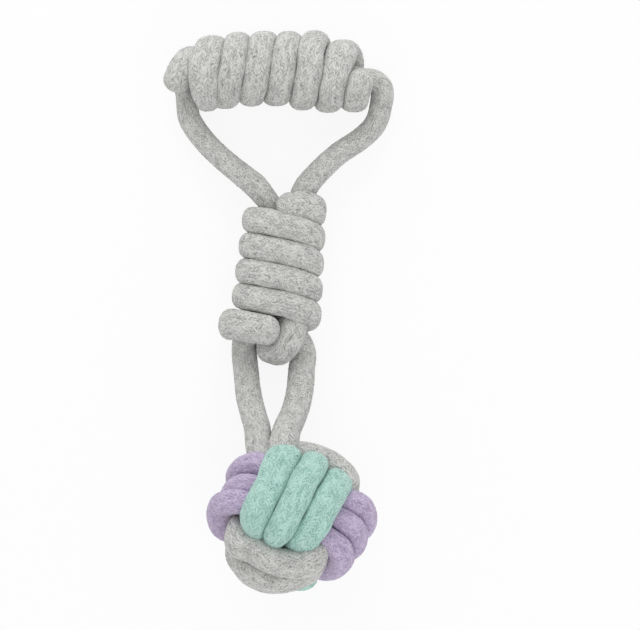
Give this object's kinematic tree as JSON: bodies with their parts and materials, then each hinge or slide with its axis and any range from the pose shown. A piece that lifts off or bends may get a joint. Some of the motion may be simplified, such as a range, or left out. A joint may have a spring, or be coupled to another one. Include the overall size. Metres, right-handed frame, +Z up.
{
  "type": "rope dog toy",
  "caption": "Cotton rope tug toy: a wound hand grip on a triangular rope handle, a wrapped knot, a short rope loop and a woven ball in three colours; bends at the soft stretches of rope.",
  "frame": {"origin": "under the middle of the toy, on the surface that it lies on", "axes": "+Y from the ball to the grip, +X along the grip to the right as pictured, +Z up from the surface"},
  "size_m": [0.0954, 0.2362, 0.0655],
  "materials": {
    "grey_cotton": "braided cotton, matt, light grey melange",
    "mint_cotton": "braided cotton, matt, pale mint",
    "lilac_cotton": "braided cotton, matt, pale lilac",
    "core_fibre": "packed cotton fibre"
  },
  "bodies": {
    "knot": {"knot_winding": "grey_cotton", "knot_tuck": "grey_cotton", "knot_strand_left": "grey_cotton", "knot_strand_right": "grey_cotton"},
    "handle": {"handle_leg_left": "grey_cotton", "handle_leg_right": "grey_cotton"},
    "grip": {"grip_winding": "grey_cotton", "grip_strand": "grey_cotton"},
    "loop": {"loop_leg_left": "grey_cotton", "loop_leg_right": "grey_cotton"},
    "ball": {"ball_mint_winding": "mint_cotton", "ball_lilac_winding": "lilac_cotton", "ball_grey_winding": "grey_cotton", "ball_core": "core_fibre", "neck_strand_left": "grey_cotton", "neck_strand_right": "grey_cotton"}
  },
  "joints": [
    {"name": "handle_fold", "type": "hinge", "parent": "knot", "child": "handle", "pos_m": [0, 0.05688, 0.0132], "axis": [1, 0, 0], "range_deg": [0, 80]},
    {"name": "grip_fold", "type": "hinge", "parent": "handle", "child": "grip", "pos_m": [0, 0.08238, 0.0092], "axis": [1, 0, 0], "range_deg": [0, 55]},
    {"name": "loop_fold", "type": "hinge", "parent": "knot", "child": "loop", "pos_m": [0, -0.02842, 0.0124], "axis": [-1, 0, 0], "range_deg": [0, 45]},
    {"name": "ball_fold", "type": "hinge", "parent": "loop", "child": "ball", "pos_m": [0, -0.04862, 0.0264], "axis": [-1, 0, 0], "range_deg": [0, 40]}
  ]
}
